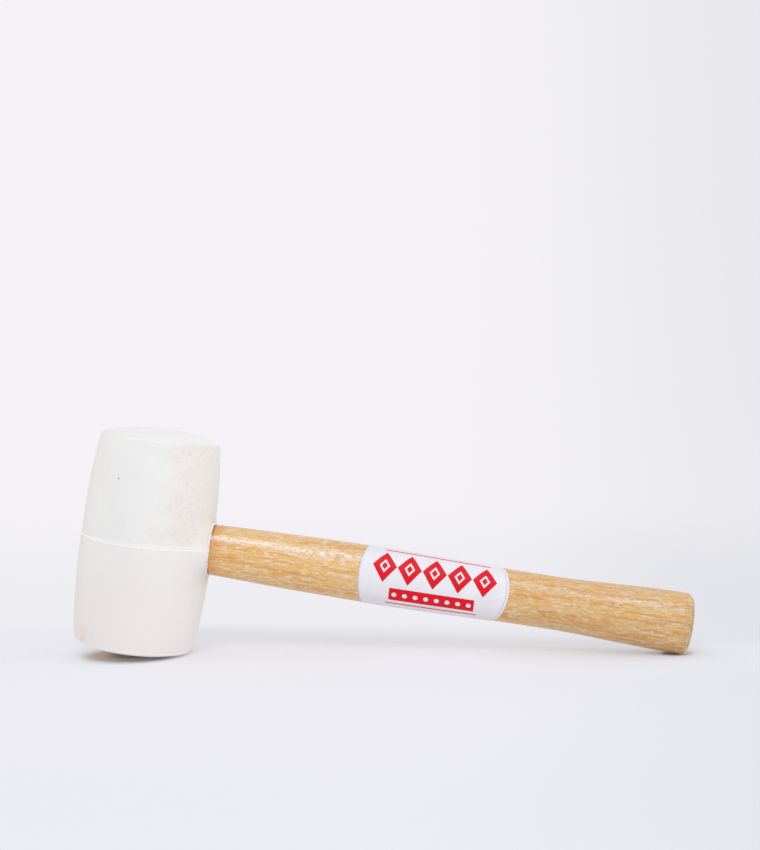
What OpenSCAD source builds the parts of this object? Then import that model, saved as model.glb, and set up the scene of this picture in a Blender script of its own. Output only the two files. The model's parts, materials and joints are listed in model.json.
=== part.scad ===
// Rubber mallet: a moulded rubber head wedged on a turned wooden handle, in millimetres.
// It lies on a flat surface, on the lower face of its head and the edge of its butt.
// +Z is up and +X runs along the handle to the butt. The origin is on the surface, below
// the middle of the mallet.

/* [Head] */
// Length of the head, from the crest of one striking face to the crest of the other
head_len = 122.4; // [105:0.2:140]
// Diameter of the head at its middle
head_mid_d = 71; // [68:0.5:84]
// Diameter of a striking face, measured at its sharp corner
face_d = 63.9; // [52:0.1:66]
// How full the wall stays before it draws in to the faces, where 2 is a plain arc
barrel_power = 2.5; // [2:0.05:4]
// How far the crest of a striking face stands above its corner
crown_h = 5; // [2:0.1:8]
// Diameter of the flat crest in the middle of a striking face
crest_d = 10; // [6:0.5:16]
// Radius of the rim round each face
rim_r = 2.2; // [0.8:0.1:4]
// Height of the parting line and the eye above the middle of the head
parting_z = 0.6; // [-3:0.1:3]
// How far the parting line stands out of the wall
parting_h = 0.35; // [0.2:0.05:0.6]
// Width of the parting line
parting_w = 2.2; // [1:0.1:4]
// How far the collar round the eye stands out past the widest part of the head
collar_h = 1.7; // [0.5:0.1:4]
// Thickness of the collar at its end
collar_t = 1.4; // [0.8:0.1:3]
// How much thicker the collar is where it springs from the wall
collar_flare = 4; // [1:0.5:8]

/* [Handle] */
// Distance from the axis of the head to the end of the butt
handle_reach = 293.3; // [270:0.1:340]
// Diameter where the handle leaves the head
neck_d = 27.2; // [25:0.1:30]
// Diameter of the swell
swell_d = 30.3; // [28:0.1:34]
// Distance from the axis of the head to the swell
swell_x = 122; // [105:1:150]
// Diameter of the waist
waist_d = 27.8; // [25:0.1:30]
// Distance from the axis of the head to the waist
waist_x = 217.5; // [200:0.5:240]
// Diameter of the butt
butt_d = 32.1; // [30:0.1:38]
// Radius of the edge round the butt
butt_round = 4.8; // [2:0.1:8]
// Radius of the domed end of the butt
butt_dome_r = 70; // [45:1:200]
// Diameter of the tenon at its end, on the far side of the head
tenon_end_d = 23.4; // [20:0.1:26]

/* [Wedges] */
// How far the wooden wedge reaches into the tenon
wood_wedge_depth = 40; // [25:1:55]
// Thickness of the wooden wedge at its outer end
wood_wedge_t = 3.2; // [2:0.1:5]
// How far the steel wedge reaches into the tenon
steel_wedge_depth = 22; // [12:1:35]
// Thickness of the steel wedge at its outer end
steel_wedge_t = 2.4; // [1.5:0.1:4]
// Width of the steel wedge, across the wooden one
steel_wedge_w = 15; // [10:0.5:18]

/* [Label] */
// Distance from the axis of the head to the end of the label nearest it
label_x = 118; // [100:1:125]
// Length of the label along the handle
label_len = 78.8; // [74:0.2:90]
// How much of the way round the handle the label goes, in degrees
label_wrap = 240; // [200:5:300]
// Turn of the middle of the label, up from the side of the handle, in degrees
label_turn = 12; // [-90:1:90]
// Thickness of the label
label_t = 0.2; // [0.15:0.05:0.5]
// Radius of the bowed end nearest the head
label_head_bow = 66; // [55:1:120]
// Radius of the bowed end nearest the butt
label_butt_bow = 36; // [32:1:42]

/* [Hidden] */

$fn = 72;
wall_steps = 16;
rim_steps = 5;
crown_steps = 6;
neck_steps = 14;
grip_steps = 12;
butt_steps = 12;
edge_steps = 6;
dome_steps = 3;
wedge_tip_t = 0.6;
// How far the eye is drawn on past both sides of the head, and the collar into it
eye_spare = 6;
collar_spare = 2;
// Length of the boxes and slabs that cut right across the mallet
cut = 200;

half_len = head_len / 2 - crown_h;
mid_r = head_mid_d / 2;
face_r = face_d / 2;
crest_r = crest_d / 2;

// Ball of a crowned face, which passes through the corner of the face and the edge of its crest.
// Its middle lies crown_drop below the corner.
crown_drop = (pow(face_r, 2) - pow(crest_r, 2) - pow(crown_h, 2)) / (2 * crown_h);
crown_r = norm([face_r, crown_drop]);
crest_lean = asin(crest_r / crown_r);

// Lean of the wall and of the crown at the corner, which the rim rounds off over rim_run
wall_lean = atan(barrel_power * (mid_r - face_r) / half_len);
crown_lean = asin(face_r / crown_r);
rim_run = rim_r * tan((90 - wall_lean - crown_lean) / 2);
wall_top = half_len - rim_run * cos(wall_lean);
rim_mid_r = face_r + rim_run * sin(wall_lean) - rim_r * cos(wall_lean);
rim_mid_z = wall_top - rim_r * sin(wall_lean);
crown_edge = asin((face_r - rim_run * cos(crown_lean)) / crown_r);

// The neck starts at the end of the collar, and the tenon ends flush with the far side of the wall
neck_x = mid_r + collar_h;
tenon_end_r = tenon_end_d / 2;
tenon_x = -sqrt(pow(mid_r, 2) - pow(tenon_end_r, 2));
eye_taper = (neck_d / 2 - tenon_end_r) / (neck_x - tenon_x);

// Collar round the eye, from its end back to where it springs from the sides of the wall
collar_r = neck_d / 2 + collar_t;
collar_root_r = collar_r + collar_flare;
collar_root_x = sqrt(pow(mid_r, 2) - pow(collar_root_r, 2));
collar_taper = collar_flare / (neck_x - collar_root_x);

// Middle of the rounded edge of the butt, which meets the domed end without a corner
butt_r = butt_d / 2;
edge_r = butt_r - butt_round;
dome_x = handle_reach - butt_dome_r;
edge_x = dome_x + sqrt(pow(butt_dome_r - butt_round, 2) - pow(edge_r, 2));
dome_angle = atan(edge_r / (edge_x - dome_x));

// Heights of the middle of the lower crown's ball and of the lower rim, from the axis of the handle
low_crown_z = crown_drop - half_len - parting_z;
low_rim_z = -rim_mid_z - parting_z;

// Tilt at which the lower face and the lower edge of the butt touch the surface together. A well crowned
// face touches with its crown, a nearly flat one with its rim.
crown_reach = [edge_x, edge_r + low_crown_z];
crown_tilt = asin((crown_r - butt_round) / norm(crown_reach)) - atan2(crown_reach[1], crown_reach[0]);
rim_reach = [edge_x - rim_mid_r, -low_rim_z - edge_r];
rim_tilt = asin((rim_r - butt_round) / norm(rim_reach)) + atan2(rim_reach[1], rim_reach[0]);
tilt = crown_tilt < crown_edge ? crown_tilt : rim_tilt;
lift = edge_x * sin(tilt) + edge_r * cos(tilt) + butt_round;

// Ends of the tilted mallet along X: the wall or the rim of the head on one side, the butt on the other
low_wall_z = half_len * pow(tan(tilt) / tan(wall_lean), 1 / (barrel_power - 1));
wall_end = -barrel_r(low_wall_z) * cos(tilt) - (low_wall_z + parting_z) * sin(tilt);
rim_end = -rim_mid_r * cos(tilt) + low_rim_z * sin(tilt) - rim_r;
head_end = low_wall_z < wall_top ? wall_end : rim_end;
dome_end = dome_x * cos(tilt) + butt_dome_r;
edge_end = edge_x * cos(tilt) + edge_r * sin(tilt) + butt_round;
butt_end = tilt < dome_angle ? dome_end : edge_end;
middle_x = (head_end + butt_end) / 2;

// Radius of the head at height z above its middle
function barrel_r(z) = mid_r - (mid_r - face_r) * pow(abs(z) / half_len, barrel_power);

// Point of the rim's rounding, from the wall at wall_lean to the crown
function rim_point(angle) = [rim_mid_r + rim_r * cos(angle), rim_mid_z + rim_r * sin(angle)];

// Point of the crown at an angle from the axis of the head
function crown_point(angle) = [crown_r * sin(angle), half_len - crown_drop + crown_r * cos(angle)];

// Upper half of the barrel's outline, as radius and height above the middle of the head
function half_barrel() = concat(
    [for (i = [0 : wall_steps]) let (z = wall_top * i / wall_steps) [barrel_r(z), z]],
    [for (i = [1 : rim_steps]) rim_point(wall_lean + (90 - crown_lean - wall_lean) * i / rim_steps)],
    [for (i = [1 : crown_steps]) crown_point(crown_edge + (crest_lean - crown_edge) * i / crown_steps)]
);

function flipped(points) = [for (i = [len(points) - 1 : -1 : 1]) [points[i][0], -points[i][1]]];

// Share of a half wave that has passed, from 0 to 1
function half_wave(share) = (1 - cos(180 * share)) / 2;

// Radius of the handle at distance x from the axis of the head, from the neck to the butt
function handle_r(x) =
    x < swell_x ? (neck_d + (swell_d - neck_d) * sin(90 * (x - neck_x) / (swell_x - neck_x))) / 2
    : x < waist_x ? (swell_d + (waist_d - swell_d) * half_wave((x - swell_x) / (waist_x - swell_x))) / 2
    : (waist_d + (butt_d - waist_d) * half_wave((x - waist_x) / (edge_x - waist_x))) / 2;

function stations(from, to, steps) = [for (i = [0 : steps - 1]) from + (to - from) * i / steps];

handle_x = concat(
    stations(neck_x, swell_x, neck_steps),
    stations(swell_x, waist_x, grip_steps),
    stations(waist_x, edge_x, butt_steps),
    [edge_x]
);

// Outline of the handle, as radius and distance from the axis of the head
function handle_outline() = concat(
    [[0, tenon_x], [tenon_end_r, tenon_x]],
    [for (x = handle_x) [handle_r(x), x]],
    [for (i = [1 : edge_steps]) let (a = 90 + (dome_angle - 90) * i / edge_steps)
        [edge_r + butt_round * sin(a), edge_x + butt_round * cos(a)]],
    [for (i = [dome_steps - 1 : -1 : 0]) let (a = dome_angle * i / dome_steps)
        [butt_dome_r * sin(a), dome_x + butt_dome_r * cos(a)]]
);

// Puts a piece, drawn with the head upright, where it lies at rest
module laid() {
    translate([-middle_x, 0, lift])
        rotate([0, tilt, 0])
            children();
}

// Turns a piece, drawn along Z, to lie along the handle
module along_handle() {
    rotate([0, 90, 0])
        children();
}

// Solid of the eye, which the tenon fills, past both sides of the head
module eye_cone() {
    far_x = tenon_x - eye_spare;
    along_handle()
        translate([0, 0, far_x])
            cylinder(
                h = neck_x + eye_spare - far_x,
                r1 = tenon_end_r - eye_taper * eye_spare,
                r2 = neck_d / 2 + eye_taper * eye_spare
            );
}

module barrel() {
    half = half_barrel();
    translate([0, 0, -parting_z])
        rotate_extrude()
            polygon(concat([[0, -head_len / 2]], flipped(half), half, [[0, head_len / 2]]));
}

// Raised line where the two halves of the mould met
module parting_line() {
    foot = parting_w / 2;
    crest = parting_w / 6;
    inner_r = mid_r - 2;
    rotate_extrude()
        polygon([
            [inner_r, -foot],
            [barrel_r(parting_z - foot), -foot],
            [barrel_r(parting_z) + parting_h, -crest],
            [barrel_r(parting_z) + parting_h, crest],
            [barrel_r(parting_z + foot), foot],
            [inner_r, foot]
        ]);
}

// Collar that the wall draws out to where the handle leaves the eye
module eye_collar() {
    along_handle()
        translate([0, 0, collar_root_x - collar_spare])
            cylinder(
                h = neck_x - collar_root_x + collar_spare,
                r1 = collar_root_r + collar_taper * collar_spare,
                r2 = collar_r
            );
}

// Slab that narrows from its outer end towards its tip, lying in the plane of the handle and the head
module wedge_slab(depth, outer_t, width) {
    linear_extrude(width, center = true)
        polygon([
            [tenon_x, -outer_t / 2],
            [tenon_x, outer_t / 2],
            [tenon_x + depth, wedge_tip_t / 2],
            [tenon_x + depth, -wedge_tip_t / 2]
        ]);
}

module wood_wedge_slab() {
    wedge_slab(wood_wedge_depth, wood_wedge_t, cut);
}

module steel_wedge_slab() {
    rotate([90, 0, 0])
        wedge_slab(steel_wedge_depth, steel_wedge_t, steel_wedge_w);
}

module turned_handle() {
    along_handle()
        rotate_extrude()
            polygon(handle_outline());
}

module rubber_head() {
    color("#efeeea")
        laid()
            difference() {
                union() {
                    barrel();
                    parting_line();
                    eye_collar();
                }
                eye_cone();
            }
}

module handle() {
    color("#d9a552")
        laid()
            difference() {
                turned_handle();
                wood_wedge_slab();
                steel_wedge_slab();
            }
}

module wood_wedge() {
    color("#b98a4a")
        laid()
            difference() {
                intersection() {
                    turned_handle();
                    wood_wedge_slab();
                }
                steel_wedge_slab();
            }
}

module steel_wedge() {
    color("#9a9ea3")
        laid()
            steel_wedge_slab();
}

// Strip of the label's thickness round the handle, a little longer than the label
module label_band() {
    spare = 12;
    xs = [for (x = handle_x) if (x > label_x - spare && x < label_x + label_len + spare) x];
    along_handle()
        rotate([0, 0, 270 - label_turn - label_wrap / 2])
            rotate_extrude(angle = label_wrap)
                polygon(concat(
                    [for (x = xs) [handle_r(x), x]],
                    [for (i = [len(xs) - 1 : -1 : 0]) [handle_r(xs[i]) + label_t, xs[i]]]
                ));
}

// Ball about a point on the middle line of the label, at distance x from the axis of the head
module label_ball(x, r) {
    translate([x, 0, 0])
        rotate([label_turn, 0, 0])
            translate([0, -swell_d / 2, 0])
                sphere(r);
}

module label() {
    butt_ball_x = label_x + label_len - label_butt_bow;
    color("#f4f3f6")
        laid()
            intersection() {
                label_band();
                union() {
                    intersection() {
                        label_ball(label_x + label_head_bow, label_head_bow);
                        translate([butt_ball_x - cut, -cut / 2, -cut / 2])
                            cube(cut);
                    }
                    intersection() {
                        label_ball(butt_ball_x, label_butt_bow);
                        translate([butt_ball_x, -cut / 2, -cut / 2])
                            cube(cut);
                    }
                }
            }
}

rubber_head();
handle();
wood_wedge();
steel_wedge();
label();
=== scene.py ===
"""A white rubber mallet with a lacquered wooden handle, lying on a pale studio floor."""
import json
import math

import bmesh
import bpy
from mathutils import Matrix, Vector, noise


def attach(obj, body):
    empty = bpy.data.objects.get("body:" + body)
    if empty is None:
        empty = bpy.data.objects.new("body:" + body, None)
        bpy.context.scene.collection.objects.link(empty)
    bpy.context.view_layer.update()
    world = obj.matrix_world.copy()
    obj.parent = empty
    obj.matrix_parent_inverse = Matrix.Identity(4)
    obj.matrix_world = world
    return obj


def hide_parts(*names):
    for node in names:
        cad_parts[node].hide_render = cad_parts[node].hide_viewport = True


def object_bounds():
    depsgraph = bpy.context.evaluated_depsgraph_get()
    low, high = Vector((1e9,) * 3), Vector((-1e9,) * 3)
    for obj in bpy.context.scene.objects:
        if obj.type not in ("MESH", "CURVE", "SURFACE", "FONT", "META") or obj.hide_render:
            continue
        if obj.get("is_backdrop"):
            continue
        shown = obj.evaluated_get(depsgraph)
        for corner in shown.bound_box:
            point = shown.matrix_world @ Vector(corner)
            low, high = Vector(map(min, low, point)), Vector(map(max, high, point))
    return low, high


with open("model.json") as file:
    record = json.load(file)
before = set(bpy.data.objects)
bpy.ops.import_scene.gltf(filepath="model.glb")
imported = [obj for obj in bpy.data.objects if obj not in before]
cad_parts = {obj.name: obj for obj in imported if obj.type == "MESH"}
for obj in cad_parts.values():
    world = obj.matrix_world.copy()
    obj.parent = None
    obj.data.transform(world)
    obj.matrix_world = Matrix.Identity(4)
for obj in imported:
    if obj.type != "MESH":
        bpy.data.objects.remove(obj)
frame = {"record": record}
cad_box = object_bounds()

MM = 0.001
BODY = "root"


# Place of the mallet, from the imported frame


def mount(name):
    return next(m for m in frame["record"]["mounts"] if m["name"] == name)


UPPER_FACE = Vector(mount("upper_face")["pos_m"])
LOWER_FACE = Vector(mount("lower_face")["pos_m"])
ALONG = Vector(mount("grip")["axis"]).normalized()
UPRIGHT = (UPPER_FACE - LOWER_FACE).normalized()
ACROSS = UPRIGHT.cross(ALONG)

# Driving sizes of the mallet, in millimetres, as the solids have them

HEAD_LEN = (UPPER_FACE - LOWER_FACE).length / MM
MID_R = 35.5
FACE_R = 31.95
BARREL_POWER = 2.5
CROWN_H = 5.0
CREST_R = 5.0
RIM_R = 2.2
PARTING_Z = 0.6
COLLAR_H = 1.7
COLLAR_T = 1.4

REACH = 293.3
NECK_X = MID_R + COLLAR_H
NECK_R = 13.6
SWELL_X = 122.0
SWELL_R = 15.15
WAIST_X = 217.5
WAIST_R = 13.9
BUTT_R = 16.05
BUTT_ROUND = 4.8
BUTT_DOME_R = 70.0
TENON_R = 11.7
TENON_X = -math.sqrt(MID_R ** 2 - TENON_R ** 2)

WOOD_WEDGE_DEPTH = 40.0
WOOD_WEDGE_T = 3.2
STEEL_WEDGE_DEPTH = 22.0
STEEL_WEDGE_T = 2.4
STEEL_WEDGE_W = 15.0
WEDGE_TIP_T = 0.6

LABEL_X = 118.0
LABEL_LEN = 78.8
LABEL_WRAP = math.radians(240)
LABEL_TURN = math.radians(12)
LABEL_HEAD_BOW = 66.0
LABEL_BUTT_BOW = 36.0

# Sizes that follow from those

HALF_LEN = HEAD_LEN / 2 - CROWN_H
UPPER_RIM_Z = HALF_LEN - PARTING_Z
LOWER_RIM_Z = -HALF_LEN - PARTING_Z
CROWN_DROP = (FACE_R ** 2 - CREST_R ** 2 - CROWN_H ** 2) / (2 * CROWN_H)
CROWN_R = math.hypot(FACE_R, CROWN_DROP)
CROWN_LEAN = math.asin(FACE_R / CROWN_R)
WALL_LEAN = math.atan(BARREL_POWER * (MID_R - FACE_R) / HALF_LEN)
RIM_RUN = RIM_R * math.tan((math.pi / 2 - WALL_LEAN - CROWN_LEAN) / 2)
WALL_TOP = HALF_LEN - RIM_RUN * math.cos(WALL_LEAN)
RIM_MID_R = FACE_R + RIM_RUN * math.sin(WALL_LEAN) - RIM_R * math.cos(WALL_LEAN)
RIM_MID_Z = WALL_TOP - RIM_R * math.sin(WALL_LEAN)
CROWN_EDGE = math.asin((FACE_R - RIM_RUN * math.cos(CROWN_LEAN)) / CROWN_R)

COLLAR_R = NECK_R + COLLAR_T

EDGE_R = BUTT_R - BUTT_ROUND
DOME_X = REACH - BUTT_DOME_R
EDGE_X = DOME_X + math.sqrt((BUTT_DOME_R - BUTT_ROUND) ** 2 - EDGE_R ** 2)
DOME_ANGLE = math.atan(EDGE_R / (EDGE_X - DOME_X))

# Small forms of the dressed pieces, beyond those of the solids, with lengths in millimetres

SEAM_GAP = 0.7
SEAM_SPLIT = -32.0
SEAM_OPEN = -10.0
SEAM_LIFT = 0.25
SEAM_TILT = 0.025
SEAM_BAND = 3.2
SEAM_LIP_W = 0.3
MAIN_LIP_H = 0.28
FAINT_LIP_H = 0.14
TEETH_H = 0.2
PARTED_TEETH_H = 0.08
TEETH_WAVES = 40
SWING_H = 0.12
SWING_WAVES = 9

RUBBER_WAVE_H = 0.07
RUBBER_WAVE_LEN = 14.0
RUBBER_RIPPLE_H = 0.025
RUBBER_RIPPLE_LEN = 3.0
HALVES_STEP = 0.12
HALVES_STEP_RUN = 0.5
FACE_TIP = math.tan(math.radians(1.17))
FACE_TIP_Z = 20.0
FACE_TIP_RUN = 36.0

COLLAR_X = NECK_X - 1.85
COLLAR_BULGE = 1.3
COLLAR_BULGE_MOST = 1.1
COLLAR_LEAN = 0.018
COLLAR_REACH = 11.0
COLLAR_REACH_END = 2.0
COLLAR_POWER = 2.5
COLLAR_LIP_LEN = 0.62
COLLAR_LIP_T = 0.6
LIP_COARSE_WAVES = 3
LIP_FINE_WAVES = 11
LIP_LEN_JAG = 0.4
LIP_T_JAG = 0.35
EYE_GAP = 0.03

TENON_CHAMFER = 0.2
SHAFT_WAVE_H = 0.06
SHAFT_WAVE_LEN = 30.0
SHAFT_WAVE_TURNS = 1.5
SHAFT_RIPPLE_H = 0.02
SHAFT_RIPPLE_LEN = 7.0
SHAFT_RIPPLE_TURNS = 3.0
SHAFT_TRUE_LEN = 6.0
STEEL_WEDGE_PROUD = 0.3
STEEL_WEDGE_BEVEL = 0.15

LABEL_T = 0.3
UNDERLAY_T = 0.1
UNDERLAY_W = 1.3
UNDERLAY_STEP = 0.2
PAPER_WAVE_H = 0.03
PAPER_WAVE_LEN = 6.0
CREASE_X = 185.5
CREASE_LEN = 9.4
CREASE_LOW = math.radians(-9.8)
CREASE_HIGH = math.radians(5.1)
CREASE_H = 0.3
CREASE_W = 0.6
CREASE_FADE = 0.3

# Fineness of the meshes

HEAD_SEGMENTS = 320
CROWN_ROWS = 12
RIM_ROWS = 9
WALL_ROWS = 44
SEAM_ROWS = 44
EYE_SEGMENTS = 176
LIP_SEGMENTS = 216
HANDLE_SEGMENTS = 168
WEDGE_SEGMENTS = 96
TENON_ROWS = 14
SHAFT_ROWS = 168
BUTT_ROWS = 12
DOME_ROWS = 8
LABEL_ROWS = 150
LABEL_COLUMNS = 120
UNDERLAY_COLUMNS = [2.0, 1.6, 1.4, 1.25, 1.1, 0.8, 0.4, 0.0]
WELD_DISTANCE = 0.004

# Drawn places are millimetres from where the two axes cross, x along the handle and z up the head
TO_FRAME = Matrix((ALONG, ACROSS, UPRIGHT)).transposed().to_4x4()
TO_FRAME.translation = (UPPER_FACE + LOWER_FACE) / 2 + UPRIGHT * PARTING_Z * MM
TO_FRAME = TO_FRAME @ Matrix.Scale(MM, 4)


# Mesh helpers


def spread(start, end, count):
    """count + 1 values from start to end, evenly."""
    return [start + (end - start) * i / count for i in range(count + 1)]


def clamp(share):
    return min(max(share, 0.0), 1.0)


def ease(share):
    """Smooth step from 0 to 1."""
    share = clamp(share)
    return share * share * (3 - 2 * share)


def bell(distance, width):
    return math.exp(-((distance / width) ** 2))


def wander(x, y, z):
    """Smooth noise from -1 to 1, the same on every run."""
    return noise.noise(Vector((x, y, z)))


def wander_round(angle, waves, layer):
    """Smooth noise round a circle: more waves are finer, and each layer has its own."""
    return wander(waves * math.cos(angle), waves * math.sin(angle), layer)


def edit(mesh, change):
    """Changes a mesh through its bmesh."""
    net = bmesh.new()
    net.from_mesh(mesh)
    change(net)
    net.to_mesh(mesh)
    net.free()


def face_outwards(net):
    bmesh.ops.recalc_face_normals(net, faces=net.faces)


def weld(net):
    """Joins the vertices that cuts leave almost on top of each other."""
    bmesh.ops.remove_doubles(net, verts=net.verts, dist=WELD_DISTANCE)
    bmesh.ops.dissolve_degenerate(net, edges=net.edges, dist=WELD_DISTANCE)


def mesh_object(name, points, faces):
    mesh = bpy.data.meshes.new(name)
    mesh.from_pydata(points, [], faces)
    edit(mesh, face_outwards)
    piece = bpy.data.objects.new(name, mesh)
    bpy.context.scene.collection.objects.link(piece)
    return piece


def lathe(name, rows, segments, place):
    """Closed skin of rows of points round an axis, where place gives the point of a row at an angle.
    The first and the last row are single points."""
    points = [place(rows[0], 0.0)]
    for row in rows[1:-1]:
        points += [place(row, 2 * math.pi * i / segments) for i in range(segments)]
    points.append(place(rows[-1], 0.0))
    faces = []
    last = len(points) - 1
    for i in range(segments):
        j = (i + 1) % segments
        faces.append((0, 1 + i, 1 + j))
        for row in range(len(rows) - 3):
            low = 1 + row * segments
            high = low + segments
            faces.append((low + i, high + i, high + j, low + j))
        top = 1 + (len(rows) - 3) * segments
        faces.append((top + i, last, top + j))
    return mesh_object(name, points, faces)


def hoop(name, segments, section, place):
    """Closed ring whose cross-section has the points of section, where place puts one at an angle."""
    count = len(section)
    points = [place(p, 2 * math.pi * i / segments) for i in range(segments) for p in section]
    faces = []
    for i in range(segments):
        a = i * count
        b = (i + 1) % segments * count
        for k in range(count):
            m = (k + 1) % count
            faces.append((a + k, b + k, b + m, a + m))
    return mesh_object(name, points, faces)


def prism(name, outline, half_height, lift):
    """Solid over a closed outline of (u, v), as far to both sides, where lift(u, v, h) gives a point."""
    count = len(outline)
    points = [lift(u, v, h) for h in (-half_height, half_height) for u, v in outline]
    faces = [tuple(range(count)), tuple(range(2 * count - 1, count - 1, -1))]
    faces += [(i, i + count, (i + 1) % count + count, (i + 1) % count) for i in range(count)]
    return mesh_object(name, points, faces)


def sheet_faces(rows, columns):
    """Faces of a thin closed sheet: a grid of points, the same grid behind it, and a strip round both."""
    back = rows * columns
    faces = []
    for i in range(rows - 1):
        for j in range(columns - 1):
            a = i * columns + j
            quad = (a, a + 1, a + columns + 1, a + columns)
            faces.append(quad)
            faces.append(tuple(back + k for k in reversed(quad)))
    border = list(range(columns))
    border += [i * columns + columns - 1 for i in range(1, rows)]
    border += [(rows - 1) * columns + j for j in range(columns - 2, -1, -1)]
    border += [i * columns for i in range(rows - 2, 0, -1)]
    for a, b in zip(border, border[1:] + border[:1]):
        faces.append((a, back + a, back + b, b))
    return faces


def shape(piece, tool, operation):
    """Joins, cuts or trims piece with tool, and removes tool."""
    step = piece.modifiers.new(operation, "BOOLEAN")
    step.operation = operation
    step.object = tool
    step.solver = "EXACT"
    graph = bpy.context.evaluated_depsgraph_get()
    mesh = bpy.data.meshes.new_from_object(piece.evaluated_get(graph))
    piece.modifiers.clear()
    piece.data = mesh
    bpy.data.objects.remove(tool)


def keep_places(mesh, name, places):
    """Stores a place for each vertex, for the material to use."""
    layer = mesh.attributes.new(name, "FLOAT_VECTOR", "POINT")
    for value, place in zip(layer.data, places):
        value.vector = place


def settle(piece, material, node, sharp=40):
    """Puts a finished piece in the frame, in place of its CAD node, with its material."""
    mesh = piece.data
    keep_places(mesh, "drawn", [vertex.co.copy() for vertex in mesh.vertices])
    mesh.transform(TO_FRAME)
    mesh.shade_smooth()
    mesh.set_sharp_from_angle(angle=math.radians(sharp))
    mesh.materials.clear()
    mesh.materials.append(material)
    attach(piece, BODY)
    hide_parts(node)


# Shader helpers


def srgb(red, green, blue):
    """Colour of a pixel, from 0 to 255, as linear light."""
    def linear(value):
        value /= 255
        return value / 12.92 if value <= 0.04045 else ((value + 0.055) / 1.055) ** 2.4
    return (linear(red), linear(green), linear(blue), 1.0)


class Shader:
    """A node material and the ways to add nodes to it."""

    def __init__(self, name):
        self.material = bpy.data.materials.new(name)
        self.material.use_nodes = True
        self.tree = self.material.node_tree
        self.surface = self.tree.nodes["Principled BSDF"]

    def add(self, kind, inputs, output=0, **settings):
        node = self.tree.nodes.new(kind)
        for key, value in settings.items():
            setattr(node, key, value)
        for key, value in inputs.items():
            self.feed(node.inputs[key], value)
        return node.outputs[output]

    def feed(self, socket, value):
        if isinstance(value, bpy.types.NodeSocket):
            self.tree.links.new(value, socket)
        else:
            socket.default_value = value

    def places(self, name):
        """The places that keep_places stored under a name."""
        return self.add("ShaderNodeAttribute", {}, "Vector", attribute_name=name)

    def parts(self, vector):
        """The three parts of a vector."""
        node = self.tree.nodes.new("ShaderNodeSeparateXYZ")
        self.feed(node.inputs[0], vector)
        return node.outputs[:]

    def stretch(self, vector, scale):
        return self.add("ShaderNodeVectorMath", {0: vector, 1: scale}, operation="MULTIPLY")

    def shift(self, vector, amount):
        return self.add("ShaderNodeVectorMath", {0: vector, 1: amount}, operation="ADD")

    def noise(self, vector, scale, detail=3.0, roughness=0.5):
        inputs = {"Vector": vector, "Scale": scale, "Detail": detail, "Roughness": roughness}
        return self.add("ShaderNodeTexNoise", inputs, "Fac")

    def cells(self, vector, scale):
        """Distance to the nearest of many scattered points."""
        return self.add("ShaderNodeTexVoronoi", {"Vector": vector, "Scale": scale}, "Distance")

    def math(self, operation, a, b=0.0):
        return self.add("ShaderNodeMath", {0: a, 1: b}, operation=operation)

    def times(self, *values):
        total = values[0]
        for value in values[1:]:
            total = self.math("MULTIPLY", total, value)
        return total

    def most(self, *values):
        total = values[0]
        for value in values[1:]:
            total = self.math("MAXIMUM", total, value)
        return total

    def away(self, value, centre):
        """How far a value is from a centre."""
        return self.math("ABSOLUTE", self.math("SUBTRACT", value, centre))

    def hypot(self, a, b):
        both = self.add("ShaderNodeCombineXYZ", {0: a, 1: b})
        return self.add("ShaderNodeVectorMath", {0: both}, "Value", operation="LENGTH")

    def between(self, value, start, end, low=0.0, high=1.0):
        """Eases from low to high as value goes from start to end."""
        inputs = {"Value": value, "From Min": start, "From Max": end, "To Min": low, "To Max": high}
        return self.add("ShaderNodeMapRange", inputs, interpolation_type="SMOOTHSTEP")

    def near(self, vector, point, inner, outer):
        """1 within inner of a point, easing to 0 at outer."""
        distance = self.add("ShaderNodeVectorMath", {0: vector, 1: point}, "Value", operation="DISTANCE")
        return self.between(distance, inner, outer, 1.0, 0.0)

    def mix(self, share, a, b, blend="MIX"):
        node = self.tree.nodes.new("ShaderNodeMix")
        node.data_type = "RGBA"
        node.blend_type = blend
        self.feed(node.inputs[0], share)
        self.feed(node.inputs[6], a)
        self.feed(node.inputs[7], b)
        return node.outputs[2]

    def mix_number(self, share, a, b):
        return self.add("ShaderNodeMix", {0: share, 2: a, 3: b}, data_type="FLOAT")

    def ramp(self, share, stops):
        """Colour ramp of (place, colour) stops."""
        node = self.tree.nodes.new("ShaderNodeValToRGB")
        self.feed(node.inputs[0], share)
        points = node.color_ramp.elements
        while len(points) < len(stops):
            points.new(1.0)
        for point, (place, colour) in zip(points, stops):
            point.position = place
            point.color = colour
        return node.outputs["Color"]

    def bump(self, height, distance, strength, normal=None):
        inputs = {"Height": height, "Distance": distance, "Strength": strength}
        if normal is not None:
            inputs["Normal"] = normal
        return self.add("ShaderNodeBump", inputs)

    def finish(self, inputs):
        for key, value in inputs.items():
            self.feed(self.surface.inputs[key], value)
        return self.material


# White rubber


CHALK = srgb(250, 249, 248)
RIM_BROWN_PATCH = (-22.0, -24.0, -57.0)
BLACK_SPECK = (-11.3, -32.6, 33.5)
GREY_SPECKS = [
    (22.4, -23.8, 50.5),
    (27.0, -18.3, 50.8),
    (19.5, -26.9, 46.5),
    (25.1, -24.9, 13.9),
    (32.3, -12.6, 30.5),
]


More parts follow.
